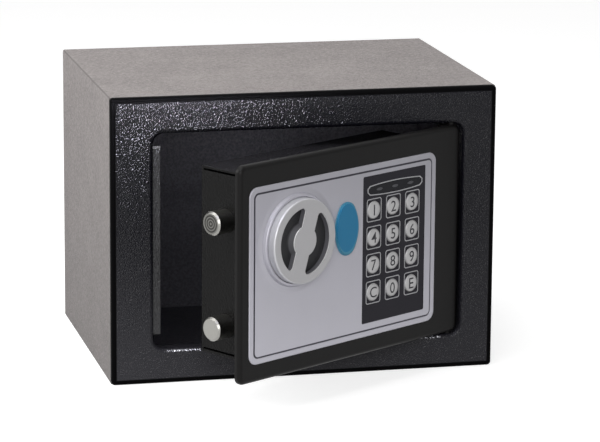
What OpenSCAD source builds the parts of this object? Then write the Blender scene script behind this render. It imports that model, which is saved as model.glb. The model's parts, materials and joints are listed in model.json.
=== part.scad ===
// Small electronic safe: a folded steel case, a swinging door with two round bolts,
// a turning knob, an emergency lock and a twelve-key pad.
// Millimetres. X runs to the right, Y to the back and Z up. The origin is at the
// middle of the underside.
// Every piece of the door is drawn with the door shut, in the door's own frame: X from
// the middle of the door plate, Y back from its front face, Z up from its middle.
// The whole door is then swung open about its hinge pins.

/* [Case] */
// Width over the case
case_w = 230; // [220:5:280]
// Height over the case
case_h = 170; // [165:5:220]
// Depth over the case
case_d = 170; // [150:5:250]
// Thickness of the case sheet
case_wall = 2; // [1.5:0.25:2]
// Radius of the case's long bends
bend_r = 1.2; // [1:0.1:4]
// Thickness of the front frame
frame_t = 4; // [4:0.5:5]
// Rounding of the front frame's outer edge
frame_edge_r = 2; // [1:0.1:3.5]
// Width of the frame on the bolt side of the door
frame_left = 25; // [20:0.5:28]
// Width of the frame on the hinge side of the door
frame_right = 20; // [18:0.5:25]
// Height of the frame above the door
frame_top = 21.5; // [18:0.5:26]
// Height of the frame below the door
frame_bottom = 20.5; // [18:0.5:26]
// Radius of the opening's corners
opening_r = 6.5; // [5:0.5:9]
// Radius of the opening's rolled edge
roll_r = 2.5; // [1.5:0.5:3]
// Depth of the flange around the opening
flange_d = 9; // [8:0.5:12]
// Thickness of the flange around the opening
flange_t = 2; // [1.5:0.5:3]
// Radius of an anchor hole
anchor_r = 5; // [3:0.5:7]
// Distance between two anchor holes
anchor_pitch = 150; // [80:5:160]
// Height of the two anchor holes in the back
anchor_z = 100; // [60:5:130]
// How far behind the middle the two anchor holes in the floor are
anchor_y = 20; // [-20:5:50]

/* [Door] */
// How far the door stands open, in degrees
door_open = 32; // [0:1:95]
// Thickness of the door plate
plate_t = 4; // [4:0.5:5]
// Rounding of the door plate's front edge
plate_edge_r = 2.5; // [1:0.5:3]
// Radius of the door plate's corners
plate_corner_r = 4.5; // [3.5:0.5:8]
// Gap between the plate and the opening on the bolt side, above and below
door_gap = 1.5; // [1.2:0.1:2.5]
// Gap between the plate and the opening on the hinge side
hinge_gap = 2.5; // [2.5:0.1:4]
// Radius of a hinge pin
pin_r = 2; // [1.5:0.25:2.25]
// Distance from the plate's hinge edge to the pin axis
pin_in = 4; // [3.5:0.25:5]
// Distance from the plate's front face to the pin axis
pin_back = 4.5; // [4.5:0.25:5]
// Bottom of the lock housing above the plate's lower edge
box_bottom_in = 7.5; // [5:0.5:10]
// Top of the lock housing below the plate's upper edge
box_top_in = 9; // [7:0.5:12]
// Side of the lock housing inside the plate's free edge
box_free_in = 19.5; // [19:0.5:21]
// Side of the lock housing inside the plate's hinge edge
box_hinge_in = 13.5; // [12:0.5:16]
// Depth of the door from the plate's front to the rear cover's back
box_d = 51; // [51:1:56]
// Sheet of the lock housing and rear cover
box_wall = 1.5; // [1:0.25:1.5]
// Gap between the rear cover's side and the housing above and below it
seam = 1.2; // [0.8:0.1:2]

/* [Bolts] */
// Radius of a bolt
bolt_r = 7; // [6:0.5:7]
// Distance between the two bolts
bolt_pitch = 61; // [58:1:62]
// Height of the upper bolt above the plate's middle
bolt_z = 24.3; // [23:0.1:26]
// Bolt axis behind the plate's front face
bolt_y = 31.5; // [31.5:0.5:32]
// Drawn bolt's end inside the plate's free edge
bolt_end_in = 7.8; // [7.5:0.1:12]
// Travel of the bolts
throw = 12; // [10:1:12]
// Running clearance of bolts, pins and shafts, on the radius
running = 0.05; // [0.02:0.01:0.08]

/* [Front panel] */
// Width of the silver front panel
fascia_w = 152.3; // [150:0.1:153]
// Height of the silver front panel
fascia_h = 101.4; // [100:0.2:106]
// Thickness of the silver front panel
fascia_t = 0.8; // [0.7:0.1:1.2]
// Silver panel's side inside the plate's free edge
fascia_in = 6.8; // [6:0.1:8]
// Silver panel's middle above the plate's middle
fascia_z = -1.2; // [-2:0.1:1]
// Radius of the knob
knob_r = 24.5; // [23:0.5:25]
// How far the knob stands proud of the silver panel
knob_proud = 6.9; // [6:0.1:9]
// Lean of the knob's grip bar towards the hinges, in degrees
knob_lean = 18; // [0:1:30]
// Turn of the knob that throws the bolts, in degrees
knob_turn = 60; // [56:1:64]
// Distance from the panel's free side to the knob's middle
knob_in = 37; // [36:0.1:38]
// Distance from the panel's free side to the emergency lock's middle
lock_in = 77; // [76:0.1:78]
// Height of knob and emergency lock above the panel's middle
control_z = 16.2; // [14:0.1:18]
// Distance from the panel's free side to the keypad
keypad_in = 90.7; // [90:0.1:91.5]
// Width of the keypad
keypad_w = 52.4; // [52:0.1:54]
// Height of the keypad
keypad_h = 86.8; // [84:0.2:92]
// Radius of a key
key_r = 5.2; // [4.5:0.1:5.8]
// How far a key stands proud of the keypad
key_proud = 0.6; // [0.6:0.1:2]
// Distance between two columns of keys
key_pitch_x = 16.1; // [15:0.1:16.8]
// Distance between two rows of keys
key_pitch_z = 16.2; // [15:0.1:17]
// Inward travel of a key
key_travel = 0.8; // [0.4:0.1:0.8]

/* [Hidden] */
$fn = 48;
KEYS = ["1", "2", "3", "4", "5", "6", "7", "8", "9", "c", "0", "e"];
eps = 0.02;
fit = 0.2;
usual_door_w = 181;
usual_door_h = 125;
usual_keypad_h = 86.8;
bend_in_r = max(0.3, bend_r - case_wall);

// The opening and the door plate in it
front_y = -case_d / 2;
open_w = case_w - frame_left - frame_right;
open_x = (frame_left - frame_right) / 2;
open_h = case_h - frame_top - frame_bottom;
open_z = frame_bottom + open_h / 2;
door_w = open_w - door_gap - hinge_gap;
door_h = open_h - 2 * door_gap;
door_x = (door_gap - hinge_gap) / 2;
half_w = door_w / 2;
half_h = door_h / 2;
pin_x = half_w - pin_in;
pin_reach = flange_t + door_gap + 4;
lug_h = 4.5;
lug_w = 12.5;
block_h = 10;

// The lock housing behind the plate
box_x0 = -half_w + box_free_in;
box_x1 = half_w - box_hinge_in;
box_z0 = -half_h + box_bottom_in;
box_z1 = half_h - box_top_in;
box_mid_z = (box_z0 + box_z1) / 2;
inner_y = box_d - box_wall;
lip_w = 8;
screw_in = 4.5;

// The strike on the bolt side's jamb
strike_y = 5;
strike_t = 1.5;
strike_lip = 3.4;
strike_play = 0.5;
strike_end_in = 8;

// The front panel and what it carries: its layout widens and heightens with the door
wide = door_w / usual_door_w;
high = door_h / usual_door_h;
tall = keypad_h / usual_keypad_h;
panel_w = fascia_w * wide;
panel_h = fascia_h * high;
panel_z = fascia_z * high;
pad_w = keypad_w * wide;
pad_h = keypad_h * high;
fascia_x0 = -half_w + fascia_in * wide;
fascia_x = fascia_x0 + panel_w / 2;
fascia_r = 6;
line_in = 3.2;
line_w = 0.8;
line_depth = 0.3;
knob_x = fascia_x0 + knob_in * wide;
control_h = panel_z + control_z * high;
knob_back = 0.3;
knob_floor = 3.1;
knob_front = fascia_t + knob_proud;
rim_round = 1;
pocket_r = 19.45;
pocket_tip_r = 2.2;
grip_half = 5.2;
boss_r = 8.7;
boss_foot_r = 10.5;
ring_hole_r = knob_r + 0.35;
ring_r = ring_hole_r + 2.2;
ring_h = 2.1;
spindle_r = 4;
spindle_socket = 2;
bush_r = 6;
bush_flange_r = 9;
bush_flange_t = 2;
keypad_x = fascia_x0 + keypad_in * wide + pad_w / 2;
keypad_t = fascia_t - 0.1;
pad_rise = 0.7;
pad_z = panel_z + pad_rise;
key_shift = -1.2;
lens_shift = 0.4;
key_step_x = key_pitch_x * wide;
key_step_z = key_pitch_z * high * tall;
window_w = pad_w - 3;
window_top = 0.46 * pad_h;
window_bottom = 0.43 * pad_h;
top_row_z = pad_z + pad_h / 2 - 1.26 * key_step_z;
key_flange_r = 6.3;
key_flange_t = 1;
key_stem_r = 2;
lamp_z = top_row_z + 0.722 * key_step_z;
lamp_r = 1.5;
lamp_gap = 13;
lamp_pitch = lamp_gap * wide;
lens_span = 45;
lens_w = lens_span * wide;
lens_h = 6.8;
lens_end_h = 4.6;
sheet_t = 1;
dome_r = 3.2;
dome_h = 0.8;
key_stem_y = plate_t - dome_h - key_travel - 0.1;
board_t = 1.6;
board_over = 6;
board_y = plate_t + sheet_t;
board_screw_x = pad_w / 2 - 2.5;

// The emergency lock and its oval cover
lock_x = fascia_x0 + lock_in * wide;
cover_a = 15.6;
cover_side = 9.5;
cover_b = cover_side * wide;
cover_curve = 7;
cover_end_r = cover_curve * wide;
cover_h = 1.4;
cover_in = 1.5;
cover_plug = fascia_t - 0.1;
barrel_r = 7.6;
barrel_y0 = 0;
barrel_y1 = 20;
nut_r = 10.5;
nut_t = 3;
core_r = 4.5;
tongue_y = 20.5;
tongue_t = 2;
tongue_len = 11;

// The bolt work: a pin on the knob's cam drives the carriage through an upright slot
cam_r = throw / (2 * sin(knob_turn / 2));
cam_hub_r = spindle_r + 1.5;
cam_play = 0.3;
cam_y0 = 24;
cam_y1 = 28.5;
drive_pin_r = 2;
drive_play = 0.2;
cam_pin_x = knob_x + cam_r * sin(knob_turn / 2);
cam_pin_low = control_h + cam_r * cos(knob_turn / 2);
cam_pin_high = control_h + cam_r;
carriage_t = 2;
carriage_y0 = bolt_y - carriage_t / 2;
carriage_y1 = bolt_y + carriage_t / 2;
bolt_end_x = -half_w + bolt_end_in;
bolt_shoulder_x = box_x0 + throw + 2;
bolt_chamfer = 1;
rivet_r = 4;
rivet_head_r = 5.5;
rivet_head_t = 1.5;
flange_half = 9;
lower_bolt_z = bolt_z - bolt_pitch;
stud_off = 26;
stud_x = knob_x + stud_off * wide;
stud_r = 2.5;
stud_head_r = 4;
stud_head_t = 1.5;
carriage_x1 = stud_x + throw + 6;
carriage_z0 = lower_bolt_z - flange_half;
carriage_z1 = max(bolt_z + flange_half, cam_pin_high + drive_pin_r + 3);

// The solenoid, whose plunger drops into one of two holes in the carriage
solenoid_x = stud_x - 5.5;
solenoid_z = bolt_z - bolt_pitch / 2 - 5;
solenoid_y0 = plate_t;
solenoid_y1 = 22;
solenoid_w = 20;
solenoid_h = 16;
coil_r = 7;
coil_bore_r = 3.4;
plunger_r = 3;
plunger_tip_r = 2.2;
plunger_gap = 0.5;
collar_r = 4.4;
collar_y = carriage_y0 - 4;
spring_r = 3.8;
wire_r = 0.35;
spring_turns = 3;

// The battery tray behind a window in the rear cover
cell_r = 7.1;
cell_len = 50;
cell_count = 4;
cell_pitch = 14.7;
tray_wall = 1.2;
tray_w = cell_pitch * cell_count + 2 * tray_wall;
tray_h = cell_len + 6;
tray_x = box_x1 - box_wall - tray_w / 2 - 5;
tray_z = box_mid_z - 4;
tray_y0 = inner_y - 2 * cell_r - tray_wall - 0.3;
lid_w = tray_w + 6;
lid_h = tray_h + 3;
lid_t = 2;
lid_play = 0.3;
rail_t = 1.4;
rail_lip = 1.6;

// The reset button high on the rear cover
reset_x = knob_x + 20;
reset_z = box_z1 - 14;
reset_r = 3;
reset_tail_r = 2;
reset_proud = 1.2;

steel_grey = [0.45, 0.44, 0.43];
satin_black = [0.13, 0.13, 0.14];
silver = [0.65, 0.64, 0.68];
nickel = [0.75, 0.75, 0.73];
charcoal = [0.20, 0.20, 0.22];

// Rectangle about the origin with round corners
module round_rect(w, h, r) {
    union() {
        square([w - 2 * r, h], center = true);
        square([w, h - 2 * r], center = true);
        for (x = [-1, 1], y = [-1, 1])
            translate([x * (w / 2 - r), y * (h / 2 - r)]) circle(r);
    }
}

// A flat outline in X and Z made solid from depth y0 to depth y1
module slab(y0, y1) {
    translate([0, y1, 0]) rotate([90, 0, 0]) linear_extrude(y1 - y0) children();
}

// Cylinder along Y from depth y0 to depth y1
module bar_y(r, y0, y1) {
    translate([0, y0, 0]) rotate([-90, 0, 0]) cylinder(r = r, h = y1 - y0);
}

// Cylinder along X from x0 to x1
module bar_x(r, x0, x1) {
    translate([x0, 0, 0]) rotate([0, 90, 0]) cylinder(r = r, h = x1 - x0);
}

// Cross-section of a plate of width w and thickness t whose upper edges are rounded
module soft_profile(w, t, edge_r) {
    union() {
        translate([-w / 2 + edge_r, 0]) square([w - 2 * edge_r, t]);
        translate([-w / 2, 0]) square([w, t - edge_r]);
        intersection() {
            for (x = [-1, 1]) translate([x * (w / 2 - edge_r), t - edge_r]) circle(edge_r);
            translate([-w / 2, t - edge_r]) square([w, edge_r]);
        }
    }
}

// Puts a shape drawn in X and Y, with its front upwards, at depth y in the door's frame
module facing_front(y) {
    translate([0, y, 0]) rotate([90, 0, 0]) children();
}

// The four corner places of a rectangle, inside by r
module at_corners(w, h, r) {
    for (x = [-1, 1], y = [-1, 1]) translate([x * (w / 2 - r), y * (h / 2 - r), 0])
        children();
}

// Plate from depth y0 to y1 with round corners and a rounded front edge
module soft_plate(w, h, corner_r, edge_r, y0, y1) {
    t = y1 - y0;
    facing_front(y1) union() {
        rotate([90, 0, 90]) linear_extrude(w - 2 * corner_r, center = true)
            soft_profile(h, t, edge_r);
        rotate([90, 0, 0]) linear_extrude(h - 2 * corner_r, center = true)
            soft_profile(w, t, edge_r);
        at_corners(w, h, corner_r) rotate_extrude() intersection() {
            soft_profile(2 * corner_r, t, edge_r);
            square([corner_r, t]);
        }
    }
}

// Cross-section of a hole of width w whose upper edges flare out around a roll
module flare_profile(w, roll) {
    difference() {
        translate([-w / 2 - roll, -eps]) square([w + 2 * roll, roll + 1 + eps]);
        for (x = [-1, 1]) translate([x * (w / 2 + roll), 0]) circle(roll);
        for (x = [-1, 1]) translate([x * (w / 2 + roll) - roll, -1]) square([2 * roll, 1]);
    }
}

// Hole with round corners from the front back to depth y1, with a rolled front edge
module rolled_hole(w, h, corner_r, roll, y1) {
    slab(-1, y1) round_rect(w, h, corner_r);
    facing_front(roll) union() {
        rotate([90, 0, 90]) linear_extrude(w - 2 * corner_r, center = true)
            flare_profile(h, roll);
        rotate([90, 0, 0]) linear_extrude(h - 2 * corner_r, center = true)
            flare_profile(w, roll);
        at_corners(w, h, corner_r) rotate_extrude() intersection() {
            flare_profile(2 * corner_r, roll);
            translate([0, -1]) square([corner_r + roll, roll + 2]);
        }
    }
}

// Four-arc oval with half axes a along Z and b along X, and ends of radius end_r
module oval(a, b, end_r) {
    c = a - end_r;
    side_r = (b * b + c * c - end_r * end_r) / (2 * (b - end_r));
    reach = c + end_r * c / (side_r - end_r);
    union() {
        intersection() {
            translate([side_r - b, 0]) circle(side_r, $fn = 96);
            translate([b - side_r, 0]) circle(side_r, $fn = 96);
            square([2 * b, 2 * reach], center = true);
        }
        for (y = [-c, c]) translate([0, y]) circle(end_r);
    }
}

// Lens outline of the lamp window, with two shallow arcs and straight ends
module lens() {
    rise = (lens_h - lens_end_h) / 2;
    arc_r = (lens_w * lens_w / 4 + rise * rise) / (2 * rise);
    intersection() {
        translate([0, arc_r - lens_h / 2]) circle(arc_r, $fn = 360);
        translate([0, lens_h / 2 - arc_r]) circle(arc_r, $fn = 360);
        square([lens_w, lens_h], center = true);
    }
}

// Upright slot or level slot for a pin of radius r, from one end to the other
module slot_outline(x0, z0, x1, z1, r) {
    translate([x0, z0]) circle(r);
    translate([x1, z1]) circle(r);
    if (x0 == x1) translate([x0 - r, z0]) square([2 * r, z1 - z0]);
    else translate([x0, z0 - r]) square([x1 - x0, 2 * r]);
}

// The door's frame, swung open about the pins
module on_door() {
    translate([open_x + door_x + pin_x, front_y + pin_back, 0]) rotate([0, 0, door_open])
        translate([-pin_x, -pin_back, open_z]) children();
}

// The opening's frame: X and Z from its middle, Y back from the case's front
module on_front() {
    translate([open_x, front_y, open_z]) children();
}

module case_shell() {
    color(steel_grey) difference() {
        translate([0, 0, case_h / 2]) slab(front_y + frame_t, case_d / 2) difference() {
            round_rect(case_w, case_h, bend_r);
            round_rect(case_w - 2 * case_wall, case_h - 2 * case_wall, bend_in_r);
        }
        for (x = [-1, 1]) translate([x * anchor_pitch / 2, anchor_y, -1])
            cylinder(r = anchor_r, h = case_wall + 2);
    }
}

module front_frame() {
    mid = case_h / 2 - open_z;
    color(satin_black) difference() {
        union() {
            on_front() difference() {
                translate([-open_x, 0, mid])
                    soft_plate(case_w, case_h, frame_edge_r + 0.2, frame_edge_r, 0,
                        frame_t);
                rolled_hole(open_w, open_h, opening_r, roll_r, frame_t + 1);
            }
            on_front() slab(roll_r, flange_d) difference() {
                round_rect(open_w + 2 * flange_t, open_h + 2 * flange_t,
                    opening_r + flange_t);
                round_rect(open_w, open_h, opening_r);
            }
        }
        for (side = [-1, 1]) pin_hole(side);
    }
}

// Bore for a hinge pin through the frame's flange and lug above or below the door
module pin_hole(side) {
    depth = pin_reach + 1;
    z = side > 0 ? open_z + open_h / 2 - 1 : open_z - open_h / 2 + 1 - depth;
    translate([open_x + door_x + pin_x, front_y + pin_back, z])
        cylinder(r = pin_r + running, h = depth);
}

module hinge_lug(side) {
    z = side > 0 ? open_h / 2 + flange_t : -open_h / 2 - flange_t - lug_h;
    color(satin_black) difference() {
        on_front() translate([door_x + pin_x - lug_w / 2, frame_t, z])
            cube([lug_w, pin_back + pin_r + 3 - frame_t, lug_h]);
        pin_hole(side);
    }
}

module hinge_lug_upper() { hinge_lug(1); }

module hinge_lug_lower() { hinge_lug(-1); }

module back_panel() {
    color(steel_grey) difference() {
        translate([0, 0, case_h / 2]) slab(case_d / 2 - case_wall, case_d / 2)
            round_rect(case_w - 2 * case_wall, case_h - 2 * case_wall, bend_in_r);
        for (x = [-1, 1]) translate([x * anchor_pitch / 2, 0, anchor_z])
            bar_y(anchor_r, case_d / 2 - case_wall - 1, case_d / 2 + 1);
    }
}

// Angle on the jamb: its lip stops the door and the bolts lie behind its rear edge
module strike_plate() {
    len = open_h - 2 * strike_end_in;
    rear = bolt_y - bolt_r - strike_play;
    color(satin_black) on_front() translate([-open_w / 2, 0, -len / 2]) union() {
        translate([0, strike_y, 0]) cube([strike_t, rear - strike_y, len]);
        translate([0, strike_y, 0]) cube([strike_t + strike_lip, strike_t, len]);
    }
}

module door_plate() {
    color(satin_black) on_door() difference() {
        soft_plate(door_w, door_h, plate_corner_r, plate_edge_r, 0, plate_t);
        translate([keypad_x, 0, panel_z + (window_top - window_bottom) / 2])
            slab(-1, plate_t + 1) round_rect(window_w, window_top + window_bottom, 3);
        translate([knob_x, 0, control_h]) bar_y(bush_r, -1, plate_t + 1);
        translate([lock_x, 0, control_h]) bar_y(barrel_r + running, -1, plate_t + 1);
        for (side = [-1, 1]) hinge_block_space(side, 0);
        for (p = board_screw_spots()) translate([p[0], 0, p[1]])
            bar_y(1.25, plate_t - 2.5, plate_t + 1);
    }
}

// The block that holds a hinge pin, let into the back of the plate
module hinge_block_space(side, bore) {
    z = side > 0 ? half_h - block_h : -half_h;
    difference() {
        translate([pin_x - 6.5, pin_back - pin_r - 0.6, z]) cube([9, pin_r + 5.1, block_h]);
        if (bore > 0) translate([pin_x, pin_back, z - 1]) cylinder(r = bore, h = block_h + 2);
    }
}

module hinge_block_upper() {
    color(satin_black) on_door() hinge_block_space(1, pin_r);
}

module hinge_block_lower() {
    color(satin_black) on_door() hinge_block_space(-1, pin_r);
}

module hinge_pins() {
    color(nickel) on_door() for (side = [-1, 1])
        translate([pin_x, pin_back, side > 0 ? half_h - block_h : -half_h - pin_reach])
            cylinder(r = pin_r, h = block_h + pin_reach);
}

// Top, bottom and hinge side of the housing, with two lips that carry the rear cover
module lock_housing() {
    color(satin_black) on_door() difference() {
        slab(plate_t, inner_y) translate([(box_x0 + box_x1) / 2, box_mid_z])
            square([box_x1 - box_x0, box_z1 - box_z0], center = true);
        translate([box_x0 - 1, plate_t - 1, box_z0 + box_wall])
            cube([box_x1 - box_x0 + 1 - box_wall, inner_y + 1 - box_wall - plate_t,
                box_z1 - box_z0 - 2 * box_wall]);
        translate([box_x0 - 1, plate_t, box_z0 + lip_w])
            cube([box_x1 - box_x0 + 1 - box_wall, inner_y, box_z1 - box_z0 - 2 * lip_w]);
        translate([box_x0 - 1, plate_t - 1, box_z0 + box_wall])
            cube([1 + box_wall, inner_y, box_z1 - box_z0 - 2 * box_wall]);
        for (p = cover_screw_spots()) translate([p[0], 0, p[1]])
            bar_y(1.25, inner_y - box_wall - 1, inner_y + 1);
    }
}

function cover_screw_spots() = [
    for (x = [box_x0 + 10, box_x1 - 10], z = [box_z0 + screw_in, box_z1 - screw_in]) [x, z]
];

function board_screw_spots() = [
    for (x = [-1, 1], z = [panel_z - window_bottom - board_over / 2,
        panel_z + window_top + board_over / 2])
        [keypad_x + x * board_screw_x, z]
];

// Back and bolt side of the housing in one bent sheet, with the battery lid's rails
module rear_cover() {
    side_z = box_z1 - box_z0 - 2 * box_wall - 2 * seam;
    rail_x = lid_w / 2 + lid_play;
    color(satin_black) on_door() difference() {
        union() {
            translate([box_x0, inner_y, box_z0])
                cube([box_x1 - box_x0, box_wall, box_z1 - box_z0]);
            translate([box_x0, plate_t, box_mid_z - side_z / 2])
                cube([box_wall, inner_y - plate_t + eps, side_z]);
            for (side = [0, 1]) translate([tray_x, box_d, tray_z - lid_h / 2])
                mirror([side, 0, 0]) union() {
                    translate([rail_x, -eps, 0]) cube([rail_t, lid_t + lid_play + eps, lid_h]);
                    translate([rail_x - rail_lip, lid_t + lid_play, 0])
                        cube([rail_lip + rail_t, rail_t, lid_h]);
                }
        }
        translate([tray_x, 0, tray_z]) slab(inner_y - 1, box_d + 0.5)
            round_rect(tray_w - 2 * tray_wall, tray_h - 2 * tray_wall, 1);
        for (z = [bolt_z, lower_bolt_z]) translate([0, bolt_y, z])
            bar_x(bolt_r + running, box_x0 - 1, box_x0 + box_wall + 1);
        translate([reset_x, 0, reset_z]) bar_y(reset_r + running, inner_y - 1, box_d + 1);
        for (p = cover_screw_spots()) translate([p[0], 0, p[1]])
            bar_y(1.5 + running, inner_y - 1, box_d + 1);
    }
}

// Pan-head screw that points forwards from depth y, with its head behind it
module pan_screw(y, shank_r, shank, head_r, head_t) {
    rotate([90, 0, 0]) translate([0, 0, -y]) rotate_extrude() difference() {
        union() {
            square([shank_r, shank]);
            translate([0, -head_t]) square([head_r - head_t / 2, head_t]);
            translate([head_r - head_t / 2, -head_t / 2]) circle(head_t / 2, $fn = 24);
        }
        translate([-head_r, -2 * head_t]) square([head_r, shank + 3 * head_t]);
    }
}

module rear_cover_screws() {
    color(nickel) on_door() for (p = cover_screw_spots()) translate([p[0], 0, p[1]])
        difference() {
            pan_screw(box_d, 1.25, box_d - inner_y + box_wall + 0.5, 2.8, 1.6);
            for (turn = [0, 90]) rotate([0, turn, 0]) translate([-1.5, box_d + 0.8, -0.3])
                cube([3, 2, 0.6]);
        }
}

module front_panel() {
    color(silver) on_door() difference() {
        translate([fascia_x, -fascia_t, panel_z])
            soft_plate(panel_w, panel_h, fascia_r, fascia_t - 0.2, 0, fascia_t);
        translate([keypad_x, 0, pad_z]) slab(-fascia_t - 1, 1) round_rect(pad_w, pad_h, 1);
        translate([knob_x, 0, control_h]) bar_y(ring_hole_r, -fascia_t - 1, 1);
        translate([lock_x, 0, control_h]) slab(-fascia_t - 1, 1)
            oval(cover_a - cover_in, cover_b - cover_in, cover_end_r - cover_in);
        translate([fascia_x, 0, panel_z]) slab(-fascia_t - 1, -fascia_t + line_depth)
            difference() {
                round_rect(panel_w - 2 * line_in, panel_h - 2 * line_in, 3.4);
                round_rect(panel_w - 2 * line_in - 2 * line_w,
                    panel_h - 2 * line_in - 2 * line_w, 3.4 - line_w);
            }
    }
}

module keypad_panel() {
    color(charcoal) on_door() difference() {
        translate([keypad_x, 0, pad_z]) slab(-keypad_t, 0) round_rect(pad_w, pad_h, 1);
        for (i = [0:11]) translate(key_spot(i)) bar_y(key_r + fit, -keypad_t - 1, 1);
        translate([keypad_x + lens_shift, 0, lamp_z]) slab(-keypad_t - 1, 1) lens();
    }
}

module lamp_window() {
    color([0.14, 0.14, 0.16]) on_door() translate([keypad_x + lens_shift, 0, lamp_z])
        slab(-keypad_t - 0.1, -0.1) lens();
}

module signal_lamps() {
    color([0.35, 0.36, 0.38]) on_door() for (i = [-1:1])
        translate([keypad_x + lens_shift + i * lamp_pitch, 0, lamp_z])
            bar_y(lamp_r, -0.1, board_y);
}

// Rubber sheet with one dome behind each key
module dome_sheet() {
    h = key_step_z * 3 + 18 * high * tall;
    color([0.75, 0.74, 0.7]) on_door() union() {
        translate([keypad_x, 0, top_row_z - key_step_z * 1.5])
            slab(plate_t, board_y) round_rect(pad_w - 1, h, 1);
        for (i = [0:11]) translate(key_spot(i))
            bar_y(dome_r, plate_t - dome_h, plate_t + 0.5);
    }
}

module circuit_board() {
    w = pad_w;
    top = panel_z + window_top + board_over;
    bottom = panel_z - window_bottom - board_over;
    color([0.1, 0.35, 0.2]) on_door() difference() {
        union() {
            translate([keypad_x - w / 2, board_y, bottom]) cube([w, board_t, top - bottom]);
            translate([keypad_x - 8, board_y + board_t, panel_z - 10]) cube([16, 2, 12]);
            translate([keypad_x + 12, 0, panel_z + 20]) bar_y(5, board_y, board_y + 7);
            for (x = [-16, 14])
                translate([keypad_x + x * wide, board_y + board_t, panel_z - 32 * high])
                    cube([6, 6, 10]);
        }
        for (p = board_screw_spots()) translate([p[0], 0, p[1]])
            bar_y(1.25, board_y - 1, board_y + board_t + 1);
    }
}

module board_screws() {
    color(nickel) on_door() for (p = board_screw_spots()) translate([p[0], 0, p[1]])
        pan_screw(board_y + board_t, 1.25, board_t + sheet_t + 2, 2.4, 1.4);
}

// Raised collar of the silver panel's pressing around the knob, with a sloping foot
module knob_ring() {
    color(silver) on_door() translate([knob_x, -fascia_t, control_h]) rotate([90, 0, 0])
        rotate_extrude() polygon([
            [ring_hole_r, 0], [ring_r, 0], [ring_r - 0.3, 0.7], [ring_r - 0.7, ring_h - 0.4],
            [ring_r - 1.1, ring_h], [ring_hole_r, ring_h]
        ]);
}

module knob_bush() {
    color([0.85, 0.84, 0.8]) on_door() translate([knob_x, 0, control_h]) difference() {
        union() {
            bar_y(bush_r, 0, plate_t);
            bar_y(bush_flange_r, plate_t, plate_t + bush_flange_t);
        }
        bar_y(spindle_r + running, -1, plate_t + bush_flange_t + 1);
    }
}

// Turned knob with a grip bar and a boss left between two finger pockets. The boss
// widens towards their floor
module knob() {
    color(silver) on_door() translate([knob_x, 0, control_h]) difference() {
        rotate([90, 0, 0]) rotate_extrude() union() {
            translate([0, knob_back]) square([knob_r - rim_round, knob_front - knob_back]);
            translate([0, knob_back])
                square([knob_r, knob_front - knob_back - rim_round]);
            translate([knob_r - rim_round, knob_front - rim_round])
                circle(rim_round, $fn = 24);
        }
        for (side = [0, 180]) rotate([0, knob_lean + side, 0]) difference() {
            slab(-knob_front - 1, -knob_floor) finger_pocket();
            translate([0, -knob_floor, 0]) rotate([90, 0, 0])
                cylinder(r1 = boss_foot_r, r2 = boss_r, h = knob_front - knob_floor);
        }
        bar_y(spindle_r, -spindle_socket, 0);
    }
}

// Crescent between the grip bar, the boss and the rim, with rounded tips
module finger_pocket() {
    x = grip_half + pocket_tip_r;
    tip = sqrt(pow(pocket_r - pocket_tip_r, 2) - x * x);
    far = 3;
    difference() {
        union() {
            intersection() {
                circle(pocket_r, $fn = 96);
                polygon([[grip_half, -tip], [x, -tip], [far * x, -far * tip],
                    [far * x, far * tip], [x, tip], [grip_half, tip]]);
            }
            for (y = [-tip, tip]) translate([x, y]) circle(pocket_tip_r, $fn = 24);
        }
        circle(boss_r);
    }
}

// Spindle, arm and drive pin behind the knob, drawn with the bolts drawn back
module knob_cam() {
    color(nickel) on_door() translate([knob_x, 0, control_h]) union() {
        bar_y(spindle_r, -spindle_socket, cam_y0 + 1);
        rotate([0, knob_turn / 2, 0]) union() {
            slab(cam_y0, cam_y1) union() {
                circle(cam_hub_r);
                translate([-3.5, 0]) square([7, cam_r]);
                translate([0, cam_r]) circle(4);
            }
            translate([0, 0, cam_r]) bar_y(drive_pin_r, cam_y1 - 1, carriage_y1 + 1.5);
        }
    }
}

// Sheet with an end flange that carries both bolts and is notched past the cam's hub
module bolt_carriage() {
    color(nickel) on_door() difference() {
        union() {
            translate([bolt_shoulder_x, carriage_y0, carriage_z0])
                cube([carriage_x1 - bolt_shoulder_x, carriage_t, carriage_z1 - carriage_z0]);
            translate([bolt_shoulder_x, bolt_y - flange_half, carriage_z0])
                cube([carriage_t, 2 * flange_half, carriage_z1 - carriage_z0]);
        }
        for (z = [bolt_z, lower_bolt_z]) {
            translate([0, bolt_y, z])
                bar_x(rivet_r, bolt_shoulder_x - 1, bolt_shoulder_x + carriage_t);
            translate([bolt_shoulder_x + carriage_t, carriage_y0 - 1, z - rivet_head_r - 0.3])
                cube([rivet_head_t + 0.6, carriage_t + 2, 2 * rivet_head_r + 0.6]);
            slab(carriage_y0 - 1, carriage_y1 + 1)
                slot_outline(stud_x, z, stud_x + throw, z, stud_r + running);
        }
        translate([bolt_shoulder_x - 1, bolt_y - flange_half - 1,
            control_h - cam_hub_r - cam_play])
            cube([carriage_t + 2, cam_y1 + cam_play - bolt_y + flange_half + 1,
                2 * (cam_hub_r + cam_play)]);
        slab(carriage_y0 - 1, carriage_y1 + 1)
            slot_outline(cam_pin_x, cam_pin_low, cam_pin_x, cam_pin_high,
                drive_pin_r + drive_play);
        for (x = [solenoid_x, solenoid_x + throw]) translate([x, 0, solenoid_z])
            bar_y(plunger_tip_r + 0.4, carriage_y0 - 1, carriage_y1 + 1);
    }
}

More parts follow.
